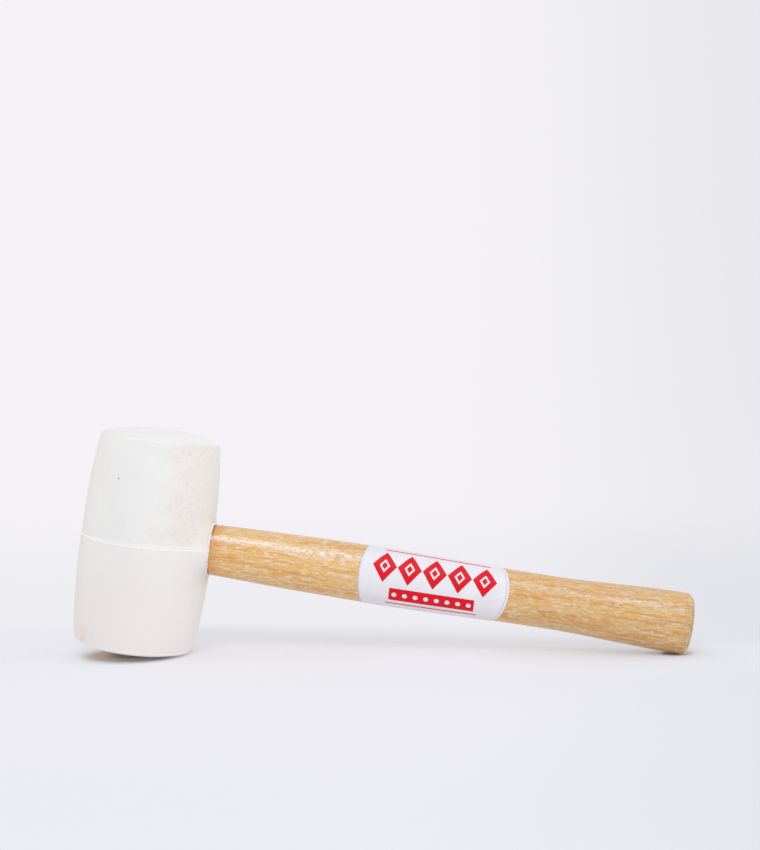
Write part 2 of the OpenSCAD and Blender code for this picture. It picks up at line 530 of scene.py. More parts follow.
def rubber_tones(s, here, clouds):
    """Soft clouds of greyish white, pinker on the lower half, with faint freckles."""
    x, _, z = s.parts(here)
    upper = s.ramp(clouds, [(0.35, srgb(230, 228, 223)), (0.65, srgb(233, 231, 226))])
    lower = s.mix(s.between(z, -25.0, -55.0), srgb(232, 226, 221), srgb(234, 227, 221))
    lower = s.mix(s.between(x, 5.0, 30.0), lower, srgb(232, 228, 224))
    slanted = s.math("SUBTRACT", z, s.times(x, 0.35))
    colour = s.mix(s.between(slanted, 6.0, -22.0), upper, lower)
    freckles = s.between(s.noise(here, 0.9, detail=4.0, roughness=0.7), 0.55, 0.75)
    return s.mix(s.times(freckles, 0.2), colour, srgb(231, 220, 214))


def smudge_and_face_light(s, here, colour, blotches):
    """Grubby area above the handle: a veil that stops at the face, grime in its darker spots, and a paler
    upper face, which is painted light from above.
    """
    x, y, z = s.parts(here)
    soot = s.noise(here, 0.5, detail=6.0, roughness=0.75)
    patches = s.noise(here, 0.08, detail=6.0, roughness=0.65)
    area = s.times(
        s.between(s.math("ADD", x, s.times(patches, 46.0)), 34.0, 46.0),
        s.between(y, 6.0, -2.0),
        s.between(s.math("ADD", z, s.times(blotches, 12.0)), 8.0, 13.0),
    )
    veil = s.times(area, s.between(soot, 0.4, 0.6, 0.3, 0.6))
    colour = s.mix(veil, colour, srgb(222, 212, 206))
    # painted light: the upper face is paler, as if lit from above
    face = s.between(z, UPPER_RIM_Z - 0.1, UPPER_RIM_Z + 1.4)
    colour = s.mix(face, colour, srgb(238, 236, 233))
    grime = s.times(area, s.between(soot, 0.57, 0.68), s.between(blotches, 0.34, 0.5))
    return s.mix(s.times(grime, 0.4), colour, srgb(196, 178, 160))


def seam_chalk(s, here, colour):
    """Pale dust, with gaps, on both lips of the parting line."""
    x, _, z = s.parts(here)
    gap = s.between(x, SEAM_SPLIT, SEAM_OPEN, 0.0, SEAM_GAP)
    above = s.math("SUBTRACT", s.math("SUBTRACT", z, SEAM_LIFT), s.times(x, SEAM_TILT))
    main_lip = s.between(s.math("ABSOLUTE", s.math("ADD", above, gap)), 0.7, 0.3)
    faint_lip = s.between(s.away(above, gap), 0.6, 0.25)
    teeth = s.between(s.noise(here, 1.1), 0.35, 0.6, 0.3, 1.0)
    lips = s.times(s.most(main_lip, s.times(faint_lip, 0.6)), teeth)
    return s.mix(s.times(lips, s.between(x, -24.0, -12.0, 0.9, 0.55)), colour, CHALK)


def collar_colours(s, here, colour):
    """Slightly darker collar, which is painted shade, with a pale lip."""
    x, y, z = s.parts(here)
    from_axis = s.hypot(y, z)
    # painted shade: the collar next to the handle is darker
    collar = s.times(s.between(from_axis, NECK_R + 6.0, NECK_R + 1.0), s.between(x, 24.0, 33.0))
    colour = s.mix(s.times(collar, 0.25), colour, srgb(222, 214, 208))
    lip = s.times(s.between(from_axis, NECK_R + 0.8, NECK_R + 0.55), s.between(x, 20.0, 30.0))
    return s.mix(s.times(lip, 0.85), colour, CHALK)


def lower_rim(s, here, colour, blotches):
    """Pale line round the lower rim, a painted reflection of the bright floor, and a blotchy brown patch on
    it.
    """
    z = s.parts(here)[2]
    # painted reflection: a paler line round the lower rim, as if lit by the bright floor
    rim_floor_light = s.times(
        s.between(z, LOWER_RIM_Z + 1.6, LOWER_RIM_Z + 0.6),
        s.between(z, LOWER_RIM_Z - 1.8, LOWER_RIM_Z - 1.0),
    )
    colour = s.mix(s.times(rim_floor_light, 0.8), colour, srgb(250, 249, 247))
    brown_patch = s.times(s.near(here, RIM_BROWN_PATCH, 2.0, 16.0), s.between(blotches, 0.35, 0.6))
    return s.mix(s.times(brown_patch, 0.35), colour, srgb(212, 190, 168))


def specks(s, here, colour):
    """Faint specks in patches, and the few that stand out."""
    dots = s.between(s.cells(here, 0.16), 0.05, 0.03)
    patches = s.between(s.noise(here, 0.09), 0.54, 0.6)
    colour = s.mix(s.times(dots, patches, 0.4), colour, srgb(150, 136, 124))
    colour = s.mix(s.near(here, BLACK_SPECK, 0.2, 0.6), colour, srgb(40, 36, 34))
    for spot in GREY_SPECKS:
        colour = s.mix(s.near(here, spot, 0.1, 0.6), colour, srgb(198, 186, 174))
    return colour


def white_rubber():
    s = Shader("white_rubber")
    here = s.places("drawn")
    clouds = s.noise(here, 0.035, detail=4.0, roughness=0.6)
    blotches = s.noise(here, 0.13, detail=5.0, roughness=0.65)
    colour = rubber_tones(s, here, clouds)
    colour = smudge_and_face_light(s, here, colour, blotches)
    colour = seam_chalk(s, here, colour)
    colour = collar_colours(s, here, colour)
    colour = lower_rim(s, here, colour, blotches)
    colour = specks(s, here, colour)
    normal = s.bump(s.noise(here, 0.25), 0.12 * MM, 0.6)
    pores = s.noise(here, 1.6, detail=5.0, roughness=0.65)
    normal = s.bump(pores, 0.03 * MM, 0.5, normal)
    roughness = s.between(clouds, 0.3, 0.7, 0.66, 0.56)
    return s.finish({"Base Color": colour, "Roughness": roughness, "Normal": normal})


# Wood and steel


PITH_Y = -30.0
PITH_Z = -12.0
RING_W = 1.4
BUTT_FALLOFF_SHADE = (0.88, 0.868, 0.81, 1.0)
LACQUER_IOR = 2.0
LACQUER_TINT = (0.3, 0.66, 1.0, 1.0)


def grain(s, place, along, across, detail, roughness=0.5):
    """Noise drawn out along the handle, with this many changes to the millimetre along and across it."""
    return s.noise(s.stretch(place, (along, across, across)), 1.0, detail, roughness)


def wood_colour(s, here):
    """Grain along x, with orange streaks, pale filled pores and a few dark lines: colour and height."""
    sway = grain(s, here, 0.012, 0.05, detail=2.0)
    swayed = s.shift(here, s.add("ShaderNodeCombineXYZ", {1: s.times(sway, 8.0), 2: s.times(sway, 5.0)}))
    broad = grain(s, swayed, 0.02, 0.22, detail=4.0, roughness=0.6)
    streaks = grain(s, swayed, 0.016, 0.42, detail=4.0, roughness=0.7)
    flecks = grain(s, swayed, 0.2, 0.9, detail=5.0, roughness=0.75)
    fine = grain(s, swayed, 0.7, 3.0, detail=2.0)
    threads = grain(s, swayed, 0.01, 1.2, detail=1.0)
    tan, gold, pale_tan = srgb(241, 197, 120), srgb(241, 182, 72), srgb(239, 197, 128)
    colour = s.ramp(broad, [(0.38, tan), (0.5, gold), (0.62, pale_tan)])
    colour = s.mix(s.times(s.between(streaks, 0.49, 0.58), 0.95), colour, srgb(230, 162, 40))
    colour = s.mix(s.times(s.between(flecks, 0.5, 0.6), 0.84), colour, srgb(247, 222, 186))
    colour = s.mix(s.times(s.between(fine, 0.54, 0.66), 0.4), colour, srgb(190, 130, 56))
    thread = s.between(s.away(threads, 0.57), 0.022, 0.006)
    colour = s.mix(s.times(thread, 0.5), colour, srgb(176, 116, 50))
    height = s.math("SUBTRACT", s.times(flecks, 0.8), s.between(fine, 0.55, 0.72))
    return colour, height


def end_grain(s, here, light, dark):
    """Growth rings round a pith beside the piece, with dark pores."""
    _, y, z = s.parts(here)
    radius = s.hypot(s.math("SUBTRACT", y, PITH_Y), s.math("SUBTRACT", z, PITH_Z))
    radius = s.math("ADD", radius, s.times(s.noise(here, 0.2), 2.0))
    rings = s.between(s.math("PINGPONG", radius, RING_W), 0.2, 1.2)
    pores = s.between(s.cells(here, 1.3), 0.3, 0.12)
    colour = s.mix(rings, light, dark)
    return s.mix(s.times(pores, 0.6), colour, srgb(110, 74, 34))


def lacquered_wood():
    s = Shader("lacquered_wood")
    here = s.places("drawn")
    x = s.parts(here)[0]
    colour, height = wood_colour(s, here)
    worn = s.noise(here, 0.9, detail=4.0)
    ends = s.most(s.between(x, EDGE_X + 3.0, EDGE_X + 4.6), s.between(x, TENON_X + 0.6, TENON_X + 0.1))
    colour = s.mix(ends, colour, end_grain(s, here, srgb(205, 155, 90), srgb(170, 118, 60)))
    butt_edge = s.times(s.between(x, EDGE_X - 3.0, EDGE_X + 3.0), s.between(worn, 0.48, 0.62))
    colour = s.mix(s.times(butt_edge, 0.5), colour, srgb(140, 96, 46))
    # painted shade: the wood darkens towards the butt, where the light falls off
    colour = s.mix(s.between(x, NECK_X, EDGE_X), colour, BUTT_FALLOFF_SHADE, "MULTIPLY")
    glue = s.between(s.math("ADD", x, s.times(worn, 9.0)), NECK_X + 13.0, NECK_X + 5.0)
    colour = s.mix(s.times(glue, 0.75), colour, srgb(226, 150, 0))
    dark_line = s.between(s.math("ADD", x, s.times(worn, 1.2)), NECK_X + 1.2, NECK_X + 0.5)
    colour = s.mix(s.times(dark_line, 0.7), colour, srgb(132, 72, 14))
    normal = s.bump(height, 0.2 * MM, 0.6)
    normal = s.bump(s.noise(here, 0.35), 0.25 * MM, 0.25, normal)
    return s.finish({
        "Base Color": colour,
        "Roughness": s.mix_number(glue, s.between(worn, 0.3, 0.7, 0.16, 0.26), 0.12),
        "IOR": LACQUER_IOR,
        "Specular Tint": LACQUER_TINT,
        "Normal": normal,
    })


def bare_wood():
    s = Shader("bare_wood")
    here = s.places("drawn")
    colour = end_grain(s, here, srgb(196, 146, 84), srgb(150, 100, 50))
    normal = s.bump(s.noise(here, 1.5, detail=4.0), 0.1 * MM, 0.6)
    return s.finish({"Base Color": colour, "Roughness": 0.7, "Normal": normal})


def wedge_steel():
    s = Shader("wedge_steel")
    here = s.places("drawn")
    scratches = s.noise(s.stretch(here, (0.6, 0.5, 6.0)), 1.0, detail=4.0)
    rust = s.between(s.noise(here, 0.4, detail=5.0, roughness=0.7), 0.5, 0.68)
    colour = s.mix(scratches, srgb(150, 152, 156), srgb(198, 200, 202))
    colour = s.mix(s.times(rust, 0.7), colour, srgb(122, 78, 46))
    metal = s.between(rust, 0.2, 0.8, 1.0, 0.15)
    roughness = s.between(s.most(rust, scratches), 0.3, 0.9, 0.3, 0.65)
    normal = s.bump(scratches, 0.05 * MM, 0.5)
    return s.finish({"Base Color": colour, "Metallic": metal, "Roughness": roughness, "Normal": normal})


# Label paper, whose print is placed in millimetres from the middle of the flat label


LABEL_RED = srgb(220, 14, 33)
LOZENGES = 5
LOZENGE_W = 13.2
LOZENGE_HALF_H = 9.0
LOZENGE_ROW = 4.6
DOTS = 8
DOT_STEP = 5.6
DOT_R = 1.3
BAR_ROW = -10.2
BAR_HALF_H = 3.7
RULE_HALF_H = 0.5
UPPER_RULE = (16.0, 28.0)
LOWER_RULE = (-16.6, 24.0)


def bar(s, along, around, row, half_length, half_height):
    """Plain bar on a row of the label."""
    return s.times(
        s.math("LESS_THAN", s.math("ABSOLUTE", along), half_length),
        s.math("LESS_THAN", s.away(around, row), half_height),
    )


def lozenges(s, along, around):
    """Row of lozenges, each a ring round a core."""
    half_length = LOZENGE_W * LOZENGES / 2
    step = s.math("FLOORED_MODULO", s.math("ADD", along, half_length), LOZENGE_W)
    from_middle = s.times(s.away(step, LOZENGE_W / 2), 2 / LOZENGE_W)
    from_row = s.times(s.away(around, LOZENGE_ROW), 1 / LOZENGE_HALF_H)
    size = s.math("ADD", from_middle, from_row)
    ring = s.times(s.math("LESS_THAN", size, 0.97), s.math("GREATER_THAN", size, 0.42))
    core = s.math("LESS_THAN", size, 0.24)
    in_row = s.math("LESS_THAN", s.math("ABSOLUTE", along), half_length)
    return s.times(s.most(ring, core), in_row)


def dotted_bar(s, along, around):
    """Bar with a row of dots left bare."""
    from_dot = s.hypot(
        s.math("SUBTRACT", s.math("FLOORED_MODULO", along, DOT_STEP), DOT_STEP / 2),
        s.math("SUBTRACT", around, BAR_ROW),
    )
    whole = bar(s, along, around, BAR_ROW, DOT_STEP * DOTS / 2, BAR_HALF_H)
    return s.times(whole, s.math("GREATER_THAN", from_dot, DOT_R))


def label_print(s, place):
    """Share of red ink at a place on the flat label."""
    along, around = s.parts(place)[:2]
    rules = [bar(s, along, around, row, half, RULE_HALF_H) for row, half in (UPPER_RULE, LOWER_RULE)]
    return s.most(lozenges(s, along, around), dotted_bar(s, along, around), *rules)


def label_paper():
    s = Shader("label_paper")
    place = s.places("print")
    white = s.ramp(s.noise(place, 0.08), [(0.3, srgb(226, 224, 227)), (0.7, srgb(231, 229, 232))])
    colour = s.mix(label_print(s, place), white, LABEL_RED)
    from_head_end, from_butt_end = s.parts(s.places("ends"))[:2]
    # painted shadows: bluish grey lines along the cut edge at the head end and along the step onto the
    # underlay at the butt end
    cut_edge_shadow = s.between(from_head_end, 0.7, 0.3)
    layer_step_shadow = s.between(s.away(from_butt_end, UNDERLAY_W), 0.5, 0.2)
    colour = s.mix(s.times(s.most(cut_edge_shadow, layer_step_shadow), 0.6), colour, srgb(186, 192, 222))
    normal = s.bump(s.noise(place, 0.5), 0.05 * MM, 0.4)
    return s.finish({
        "Base Color": colour,
        "Roughness": 0.45,
        "Specular IOR Level": 0.18,
        "Normal": normal,
    })


# Head


def barrel_r(height):
    """Radius of the head at a height above its middle."""
    return MID_R - (MID_R - FACE_R) * (abs(height) / HALF_LEN) ** BARREL_POWER


def seam_height(angle, above):
    """How far the parting line stands out: a ragged lip of flash that parts into a strong and a faint one."""
    parted = ease((MID_R * math.cos(angle) - SEAM_SPLIT) / (SEAM_OPEN - SEAM_SPLIT))
    gap = SEAM_GAP * parted
    teeth_h = TEETH_H + (PARTED_TEETH_H - TEETH_H) * parted
    teeth = teeth_h * wander_round(angle, TEETH_WAVES, layer=9.0)
    swing = SWING_H * wander_round(angle, SWING_WAVES, layer=5.0)
    main_lip = (MAIN_LIP_H + teeth) * bell(above - swing + gap, SEAM_LIP_W)
    faint_lip = (FAINT_LIP_H - teeth) * bell(above - swing - gap, SEAM_LIP_W)
    return main_lip + faint_lip


def head_rows():
    """Outline of the head as (radius, height, lean of the outward normal), from the lower face up."""
    ball_z = HALF_LEN - CROWN_DROP
    crown = [(CROWN_R * math.sin(a), ball_z + CROWN_R * math.cos(a), math.pi / 2 - a)
             for a in spread(0.0, CROWN_EDGE, CROWN_ROWS)]
    rim = [(RIM_MID_R + RIM_R * math.cos(a), RIM_MID_Z + RIM_R * math.sin(a), a)
           for a in spread(math.pi / 2 - CROWN_LEAN, WALL_LEAN, RIM_ROWS)[1:]]
    upper = crown + rim
    lower = [(radius, -height, -lean) for radius, height, lean in upper]
    seam_low, seam_high = PARTING_Z - SEAM_BAND, PARTING_Z + SEAM_BAND
    heights = spread(-WALL_TOP, seam_low, WALL_ROWS)[1:-1]
    heights += spread(seam_low, seam_high, SEAM_ROWS)
    heights += spread(seam_high, WALL_TOP, WALL_ROWS)[1:-1]
    wall = [(barrel_r(height), height, 0.0) for height in heights]
    return lower + wall + upper[::-1]


def collar_edge(y, z):
    """Where the collar ends along the handle: it reaches furthest on its two sides."""
    return COLLAR_X + COLLAR_BULGE * min(abs(y) / NECK_R, COLLAR_BULGE_MOST) ** 2 - COLLAR_LEAN * z


def collar_share(y, z):
    """Share of the way from the barrel to the collar's end, with wide flares at the sides."""
    away = math.hypot(y, z)
    reach = COLLAR_REACH_END + (COLLAR_REACH - COLLAR_REACH_END) * (y / max(away, 0.1)) ** 2
    share = 1 - (away - COLLAR_R) / reach
    return clamp(share) ** COLLAR_POWER


def rubber_unevenness(x, y, z):
    wave = RUBBER_WAVE_H * wander(x / RUBBER_WAVE_LEN, y / RUBBER_WAVE_LEN, z / RUBBER_WAVE_LEN)
    ripple = RUBBER_RIPPLE_H * wander(x / RUBBER_RIPPLE_LEN, y / RUBBER_RIPPLE_LEN, z / RUBBER_RIPPLE_LEN)
    return wave + ripple


def head_point(row, angle):
    """Point of the moulded head: uneven, with the parting line on its wall, a tipped face and the collar."""
    radius, height, lean = row
    c, s = math.cos(angle), math.sin(angle)
    out = rubber_unevenness(radius * c, radius * s, height)
    off = height - PARTING_Z
    on_wall = lean == 0.0
    if on_wall:
        above = off - SEAM_LIFT - SEAM_TILT * MID_R * c
        out += seam_height(angle, above)
        out -= HALVES_STEP * ease(above / HALVES_STEP_RUN)
    radius += out * math.cos(lean)
    x, y, z = radius * c, radius * s, off + out * math.sin(lean)
    z += FACE_TIP * x * clamp((off - FACE_TIP_Z) / FACE_TIP_RUN)
    if x > 0:
        x += max(collar_edge(y, z) - x, 0.0) * collar_share(y, z)
    return (x, y, z)


def turned(row, angle):
    """Point of a row (radius, x) round the handle's axis."""
    radius, x = row
    return (x, radius * math.cos(angle), radius * math.sin(angle))


def tenon_r(x):
    """Radius of the tenon, which widens evenly towards the neck."""
    return NECK_R + (NECK_R - TENON_R) * (x - NECK_X) / (NECK_X - TENON_X)


def eye_cone():
    """Solid of the tenon and a little more, past both sides of the head."""
    spare = 8.0
    low, high = TENON_X - spare, NECK_X + spare
    rows = [(0.0, low), (tenon_r(low) + EYE_GAP, low), (tenon_r(high) + EYE_GAP, high), (0.0, high)]
    return lathe("eye", rows, EYE_SEGMENTS, turned)


def collar_lip():
    """Thin ragged lip of rubber at the end of the collar."""
    section = [(-0.9, -2.0), (0.9, -2.0), (0.9, 0.5), (0.7, 0.9), (0.3, 1.0), (-0.9, 1.0)]

    def place(point, angle):
        jag = wander_round(angle, LIP_COARSE_WAVES, layer=7.0)
        jag += wander_round(angle, LIP_FINE_WAVES, layer=4.0)
        across = NECK_R + point[0] * COLLAR_LIP_T * (1 + LIP_T_JAG * jag)
        y, z = across * math.cos(angle), across * math.sin(angle)
        return (collar_edge(y, z) + point[1] * COLLAR_LIP_LEN * (1 + LIP_LEN_JAG * jag), y, z)

    return hoop("lip", LIP_SEGMENTS, section, place)


def build_head(material):
    head = lathe("mallet_head", head_rows(), HEAD_SEGMENTS, head_point)
    shape(head, collar_lip(), "UNION")
    shape(head, eye_cone(), "DIFFERENCE")
    edit(head.data, weld)
    settle(head, material, "rubber_head")


# Handle and wedges


def half_wave(share):
    return (1 - math.cos(math.pi * share)) / 2


def handle_r(x):
    """Radius of the handle: tenon, then a rise from the neck to the swell, the waist and the flared butt."""
    if x < NECK_X:
        return tenon_r(x)
    if x < SWELL_X:
        return NECK_R + (SWELL_R - NECK_R) * math.sin(math.pi / 2 * (x - NECK_X) / (SWELL_X - NECK_X))
    if x < WAIST_X:
        return SWELL_R + (WAIST_R - SWELL_R) * half_wave((x - SWELL_X) / (WAIST_X - SWELL_X))
    return WAIST_R + (BUTT_R - WAIST_R) * half_wave((x - WAIST_X) / (EDGE_X - WAIST_X))


def handle_rows():
    """Outline of the handle as (radius, x), from the tenon's end to the butt."""
    tenon_end = [(0.0, TENON_X), (TENON_R / 2, TENON_X), (TENON_R - TENON_CHAMFER, TENON_X)]
    tenon_end.append((TENON_R, TENON_X + TENON_CHAMFER))
    tenon = [(handle_r(x), x) for x in spread(TENON_X, NECK_X, TENON_ROWS)[1:-1]]
    shaft = [(handle_r(x), x) for x in spread(NECK_X, EDGE_X, SHAFT_ROWS)]
    turn = spread(math.pi / 2, DOME_ANGLE, BUTT_ROWS)[1:]
    edge = [(EDGE_R + BUTT_ROUND * math.sin(a), EDGE_X + BUTT_ROUND * math.cos(a)) for a in turn]
    fall = spread(DOME_ANGLE, 0, DOME_ROWS)[1:]
    dome = [(BUTT_DOME_R * math.sin(a), DOME_X + BUTT_DOME_R * math.cos(a)) for a in fall]
    return tenon_end + tenon + shaft + edge + dome


def shaft_wander(x, angle, length, turns):
    """Smooth noise along and round the handle."""
    return wander(x / length, turns * math.cos(angle), turns * math.sin(angle))


def handle_point(row, angle):
    """Point of the turned handle, true in the head and slightly uneven past the neck."""
    radius, x = row
    share = ease((x - NECK_X) / SHAFT_TRUE_LEN)
    wave = SHAFT_WAVE_H * shaft_wander(x, angle, SHAFT_WAVE_LEN, SHAFT_WAVE_TURNS)
    ripple = SHAFT_RIPPLE_H * shaft_wander(x, angle, SHAFT_RIPPLE_LEN, SHAFT_RIPPLE_TURNS)
    radius += share * wave * radius / BUTT_R
    radius += share * ripple * radius / BUTT_R
    return turned((radius, x), angle)


def wedge_slab(name, depth, thick, half_width, lift, proud):
    """Tapered slab, from proud of the tenon's end to its depth in the tenon."""
    tip_x = TENON_X + depth
    outer_x = TENON_X - proud
    outer, tip = thick / 2, WEDGE_TIP_T / 2
    outline = [(outer_x, -outer), (outer_x, outer), (tip_x, tip), (tip_x, -tip)]
    return prism(name, outline, half_width, lift)


def upright(u, v, h):
    return (u, v, h)


def crosswise(u, v, h):
    return (u, h, v)


CUT_PROUD = 2.0
CUT_HALF_WIDTH = 30.0


def wood_slab():
    """Slab of the wooden wedge, past the tenon on all sides."""
    return wedge_slab("wood_slab", WOOD_WEDGE_DEPTH, WOOD_WEDGE_T, CUT_HALF_WIDTH, upright, CUT_PROUD)


def steel_slab(proud):
    half_width = STEEL_WEDGE_W / 2
    return wedge_slab("mallet_steel_wedge", STEEL_WEDGE_DEPTH, STEEL_WEDGE_T, half_width, crosswise, proud)


def build_handle(material):
    handle = lathe("mallet_handle", handle_rows(), HANDLE_SEGMENTS, handle_point)
    shape(handle, wood_slab(), "DIFFERENCE")
    shape(handle, steel_slab(CUT_PROUD), "DIFFERENCE")
    settle(handle, material, "handle")


def build_wood_wedge(material):
    wedge = lathe("mallet_wood_wedge", handle_rows(), WEDGE_SEGMENTS, handle_point)
    shape(wedge, wood_slab(), "INTERSECT")
    shape(wedge, steel_slab(CUT_PROUD), "DIFFERENCE")
    settle(wedge, material, "wood_wedge")


def blunt_edges(net):
    bmesh.ops.bevel(net, geom=net.edges[:], offset=STEEL_WEDGE_BEVEL, segments=2, affect="EDGES")


def build_steel_wedge(material):
    wedge = steel_slab(STEEL_WEDGE_PROUD)
    edit(wedge.data, blunt_edges)
    settle(wedge, material, "steel_wedge")


# Label


def label_end(turn, ball_x, ball_r, side):
    """Where the label ends at an angle from its middle line: it is cut by a ball on that line."""
    chord = 2 * SWELL_R * math.sin(turn / 2)
    return ball_x + side * math.sqrt(ball_r ** 2 - chord ** 2)


def label_limits(turn):
    head_end = label_end(turn, LABEL_X + LABEL_HEAD_BOW, LABEL_HEAD_BOW, -1)
    butt_end = label_end(turn, LABEL_X + LABEL_LEN - LABEL_BUTT_BOW, LABEL_BUTT_BOW, 1)
    return head_end, butt_end


def label_columns(head_end, butt_end):
    """Places of the columns of points along the handle, closest by the edge over the underlay."""
    plain = spread(head_end, butt_end - UNDERLAY_COLUMNS[0], LABEL_COLUMNS)
    return plain + [butt_end - inset for inset in UNDERLAY_COLUMNS[1:]]


def label_rise(x, turn, butt_end):
    """Height of the label's face over the wood: a narrow underlay shows along its end at the butt."""
    inner = ease((butt_end - x - UNDERLAY_W) / UNDERLAY_STEP)
    rise = UNDERLAY_T + (LABEL_T - UNDERLAY_T) * inner
    along = (x - CREASE_X) / CREASE_LEN
    crease = (turn + LABEL_TURN - CREASE_LOW - (CREASE_HIGH - CREASE_LOW) * along) * SWELL_R
    rise += CREASE_H * bell(crease, CREASE_W) * ease(along / CREASE_FADE) * inner
    return rise + PAPER_WAVE_H * wander(x / PAPER_WAVE_LEN, turn * 3, 1.0)


def label_side(share):
    """The label at a share of its height: points, their places on the flat label, and those from its ends."""
    points, places, ends = [], [], []
    for turn in spread(-LABEL_WRAP / 2, LABEL_WRAP / 2, LABEL_ROWS):
        head_end, butt_end = label_limits(turn)
        angle = LABEL_TURN + turn
        for x in label_columns(head_end, butt_end):
            radius = handle_r(x) + share * label_rise(x, turn, butt_end)
            points.append((x, -radius * math.cos(angle), radius * math.sin(angle)))
            places.append((x - LABEL_X - LABEL_LEN / 2, turn * SWELL_R, 0.0))
            ends.append((x - head_end, butt_end - x, 0.0))
    return points, places, ends


def build_label(material):
    face, back = label_side(1.0), label_side(0.0)
    points, places, ends = [front + behind for front, behind in zip(face, back)]
    rows = LABEL_ROWS + 1
    columns = LABEL_COLUMNS + len(UNDERLAY_COLUMNS)
    label = mesh_object("mallet_label", points, sheet_faces(rows, columns))
    keep_places(label.data, "print", places)
    keep_places(label.data, "ends", ends)
    settle(label, material, "label", sharp=50)


# Studio floor, in metres


FLOOR_FRONT = -3.0
FLOOR_BEND = 0.9
BEND_LEAD = 0.3
BEND_R = 0.8
BEND_ROWS = 16
BACKDROP_H = 2.5
FLOOR_HALF_W = 4.0
FOOT_SHADE = LOWER_FACE + Vector((0.0, -0.004, 0.0))
BUTT_CONTACT = TO_FRAME @ Vector((EDGE_X, 0.0, -BUTT_R))

# The colours for the right are painted shade: backdrop and floor get darker to the right, where the light
# falls off
BACKDROP = srgb(244, 242, 247)
BACKDROP_RIGHT_SHADE = srgb(232, 231, 236)
FLOOR = srgb(238, 237, 242)
FLOOR_RIGHT_SHADE = srgb(226, 227, 232)
GLOW_BY_MALLET = 0.43
PAINT = srgb(237, 237, 241)
PAINT_RIGHT_SHADE = srgb(229, 231, 235)
WARM_SHADE_UNDER_HEAD = srgb(229, 212, 198)
UNDER_HANDLE_LIGHT = (1.1, 1.1, 1.1, 1.0)
TOUCH_SHADE_TONE = (0.87, 0.87, 0.86, 1.0)


def studio_floor():
    """Floor that sweeps up into a backdrop behind the mallet."""
    outline = [(FLOOR_FRONT, 0.0), (FLOOR_BEND - BEND_LEAD, 0.0)]
    for a in spread(0, math.pi / 2, BEND_ROWS):
        outline.append((FLOOR_BEND + BEND_R * math.sin(a), BEND_R - BEND_R * math.cos(a)))
    outline.append((FLOOR_BEND + BEND_R, BACKDROP_H))
    points = [(side * FLOOR_HALF_W, y, z) for y, z in outline for side in (-1, 1)]
    faces = [(2 * i, 2 * i + 1, 2 * i + 3, 2 * i + 2) for i in range(len(outline) - 1)]
    floor = mesh_object("studio_floor", points, faces)
    floor.data.shade_smooth()
    floor.data.materials.append(floor_paint())
    floor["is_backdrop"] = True


def touch_shade(s, place):
    """Where the mallet touches the floor or nearly does: under its lower face and under its butt."""
    return s.most(
        s.times(s.near(place, FOOT_SHADE, 0.021, 0.033), 0.7),
        s.near(place, LOWER_FACE, 0.008, 0.026),
        s.times(s.near(place, BUTT_CONTACT, 0.006, 0.022), 0.45),
        s.near(place, BUTT_CONTACT, 0.005, 0.012),
    )


def lit_paint(s, place, right, touch):
    """Colour of the paint that the lamps light: painted shade to the right and where the mallet touches,
    warmer painted shade under the head, and painted light under the handle.
    """
    x, y = s.parts(place)[:2]
    paint = s.mix(right, PAINT, PAINT_RIGHT_SHADE)
    # painted light: the paint under the handle is paler, lifting the shade there
    under = s.times(s.between(x, -0.11, -0.06), s.between(y, 0.04, 0.015), s.between(y, -0.1, 0.01))
    paint = s.mix(under, paint, UNDER_HANDLE_LIGHT, "MULTIPLY")
    # painted shade: the paint is darker where the mallet touches
    paint = s.mix(touch, paint, TOUCH_SHADE_TONE, "MULTIPLY")
    # painted shade: warmer, darker paint under the head's lower face
    return s.mix(s.near(place, LOWER_FACE, 0.02, 0.028), paint, WARM_SHADE_UNDER_HEAD)


def even_glow(s, place, right, around):
    """Glow in the floor's colour by the mallet and in the backdrop's colour far off, darker to the right as
    painted shade where the light falls off.
    """
    x, y = s.parts(place)[:2]
    near_colour = s.mix(right, FLOOR, FLOOR_RIGHT_SHADE)
    far_colour = s.mix(s.between(x, -0.1, 0.5), BACKDROP, BACKDROP_RIGHT_SHADE)
    far = s.most(s.between(y, 0.1, 1.1), s.times(around, s.between(y, 0.0, -0.2)))
    strength = s.between(s.most(s.between(y, -0.4, -0.05), around), 0.0, 1.0, 0.9, 1.0)
    return s.add("ShaderNodeEmission", {"Color": s.mix(far, near_colour, far_colour), "Strength": strength})


def floor_paint():
    """Paint that glows for the camera: wholly far off, partly by the mallet, and not where it touches."""
    s = Shader("studio_floor")
    place = s.add("ShaderNodeNewGeometry", {}, "Position")
    x, y = s.parts(place)[:2]
    # share of the painted shade to the right, where the light falls off
    right = s.between(x, 0.03, 0.22)
    around = s.between(s.near(place, (0.0, 0.0, 0.0), 0.5, 0.9), 1.0, 0.0)
    touch = touch_shade(s, place)
    s.finish({"Base Color": lit_paint(s, place, right, touch), "Roughness": 0.9, "Specular IOR Level": 0.1})
    beyond = s.most(s.between(y, 0.055, 0.12), around)
    even = s.most(s.between(touch, 0.0, 1.0, GLOW_BY_MALLET, 0.0), beyond)
    shown = s.times(even, seen_directly(s.tree))
    glow = even_glow(s, place, right, around)
    both = s.add("ShaderNodeMixShader", {0: shown, 1: s.surface.outputs[0], 2: glow})
    s.feed(s.tree.nodes["Material Output"].inputs["Surface"], both)
    return s.material


def seen_directly(tree):
    """1 for what the camera sees, straight or mirrored or through glass, and 0 for light on its way."""
    path = tree.nodes.new("ShaderNodeLightPath")
    total = path.outputs["Is Camera Ray"]
    for kind in ("Is Glossy Ray", "Is Transmission Ray"):
        either = tree.nodes.new("ShaderNodeMath")
        either.operation = "MAXIMUM"
        tree.links.new(total, either.inputs[0])
        tree.links.new(path.outputs[kind], either.inputs[1])
        total = either.outputs[0]
    return total


# Light, in metres and watts


